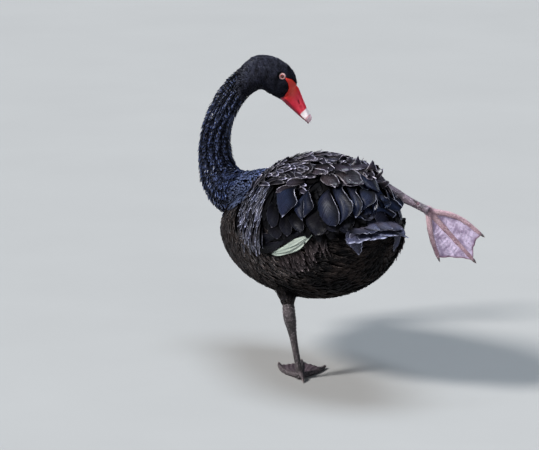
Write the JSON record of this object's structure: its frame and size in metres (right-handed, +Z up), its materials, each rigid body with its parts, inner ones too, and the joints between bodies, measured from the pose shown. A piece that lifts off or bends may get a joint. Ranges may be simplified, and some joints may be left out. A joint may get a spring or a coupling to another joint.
{
  "type": "black swan model",
  "caption": "Life-size still model of a black swan standing on one webbed foot, the other leg stretched out behind, neck curved and red bill turned back over the side.",
  "frame": {"origin": "middle of the flat pad under the standing left foot, on the floor", "axes": "+Z up; the swan's body faces -Y, so its left side is +X"},
  "size_m": [0.3367, 0.6431, 0.5396],
  "materials": {
    "plumage": "matte black contour feathers",
    "wing_plumage": "satin brownish black feathers",
    "flight_white": "matte white flight feathers",
    "bill_red": "satin red with a white band and tip",
    "bill_dark": "satin dark red",
    "lid_pink": "matte pale pink skin",
    "eye": "glossy red iris and dark pupil",
    "leg_skin": "scaled dark skin",
    "web_skin": "wrinkled mauve skin"
  },
  "bodies": {
    "root": {"torso": "plumage", "neck_lower": "plumage", "neck_middle": "plumage", "neck_upper": "plumage", "head": "plumage", "tail": "plumage", "wing_left": "wing_plumage", "wing_right": "wing_plumage", "flight_left": "flight_white", "flight_right": "flight_white", "thigh_left": "plumage", "thigh_right": "plumage", "shank_left": "leg_skin", "shank_right": "leg_skin", "foot_left": "leg_skin", "foot_right": "web_skin", "bill_upper": "bill_red", "bill_lower": "bill_dark", "lid_left": "lid_pink", "lid_right": "lid_pink", "eye_left": "eye", "eye_right": "eye"}
  },
  "joints": []
}
